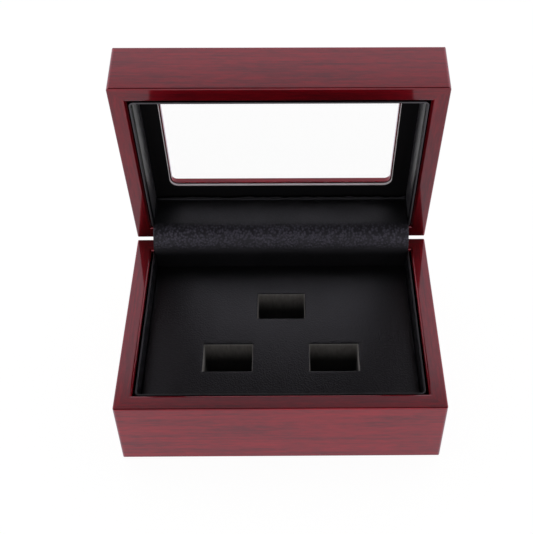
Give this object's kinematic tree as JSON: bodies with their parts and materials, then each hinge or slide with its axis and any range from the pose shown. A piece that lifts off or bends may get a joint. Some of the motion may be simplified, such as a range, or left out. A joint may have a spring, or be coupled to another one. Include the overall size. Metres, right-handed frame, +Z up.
{
  "type": "ring display box",
  "caption": "Lacquered wooden display box for large rings, with a leather-covered slotted tray and a hinged lid with a glazed window.",
  "frame": {"origin": "middle of the felted underside", "axes": "+Z up, -Y towards the front of the base, +X to the right; the hinge line runs along X at the back"},
  "size_m": [0.16, 0.1433, 0.1597],
  "materials": {
    "lacquered_wood": "dark red high-gloss lacquer over wood grain",
    "floor_board": "plain plywood",
    "felt": "black felt",
    "liner_leather": "black, fairly smooth, semi-gloss",
    "back_leather": "black, fine grain, satin",
    "foam": "dense dark foam",
    "tray_card": "plain card",
    "tray_leather": "black, fine grain, satin",
    "brass": "satin",
    "screw_brass": "satin",
    "glass": "clear",
    "mat_card": "matte black face with a cream cut edge"
  },
  "bodies": {
    "base": {"base_front_wall": "lacquered_wood", "base_back_wall": "lacquered_wood", "base_left_wall": "lacquered_wood", "base_right_wall": "lacquered_wood", "base_floor": "floor_board", "base_felt": "felt", "base_liner": "liner_leather", "base_back_lining": "back_leather", "tray_foam": "foam", "tray_board": "tray_card", "tray_cover": "tray_leather", "hinge_leather": "back_leather", "hinge_base_leaf_left": "brass", "hinge_base_leaf_right": "brass", "hinge_pin_left": "brass", "hinge_pin_right": "brass", "hinge_base_screws": "screw_brass"},
    "lid": {"hinge_lid_leaf_left": "brass", "hinge_lid_leaf_right": "brass", "hinge_lid_screws": "screw_brass", "lid_front_wall": "lacquered_wood", "lid_back_wall": "lacquered_wood", "lid_left_wall": "lacquered_wood", "lid_right_wall": "lacquered_wood", "lid_top_frame": "lacquered_wood", "window_glass": "glass", "window_mat": "mat_card", "lid_liner": "liner_leather", "lid_back_lining": "back_leather"}
  },
  "joints": [
    {"name": "lid_hinge", "type": "hinge", "parent": "base", "child": "lid", "pos_m": [0, 0.0582, 0.04115], "axis": [1, 0, 0], "range_deg": [0, 81], "deforming": ["hinge_leather"]}
  ]
}
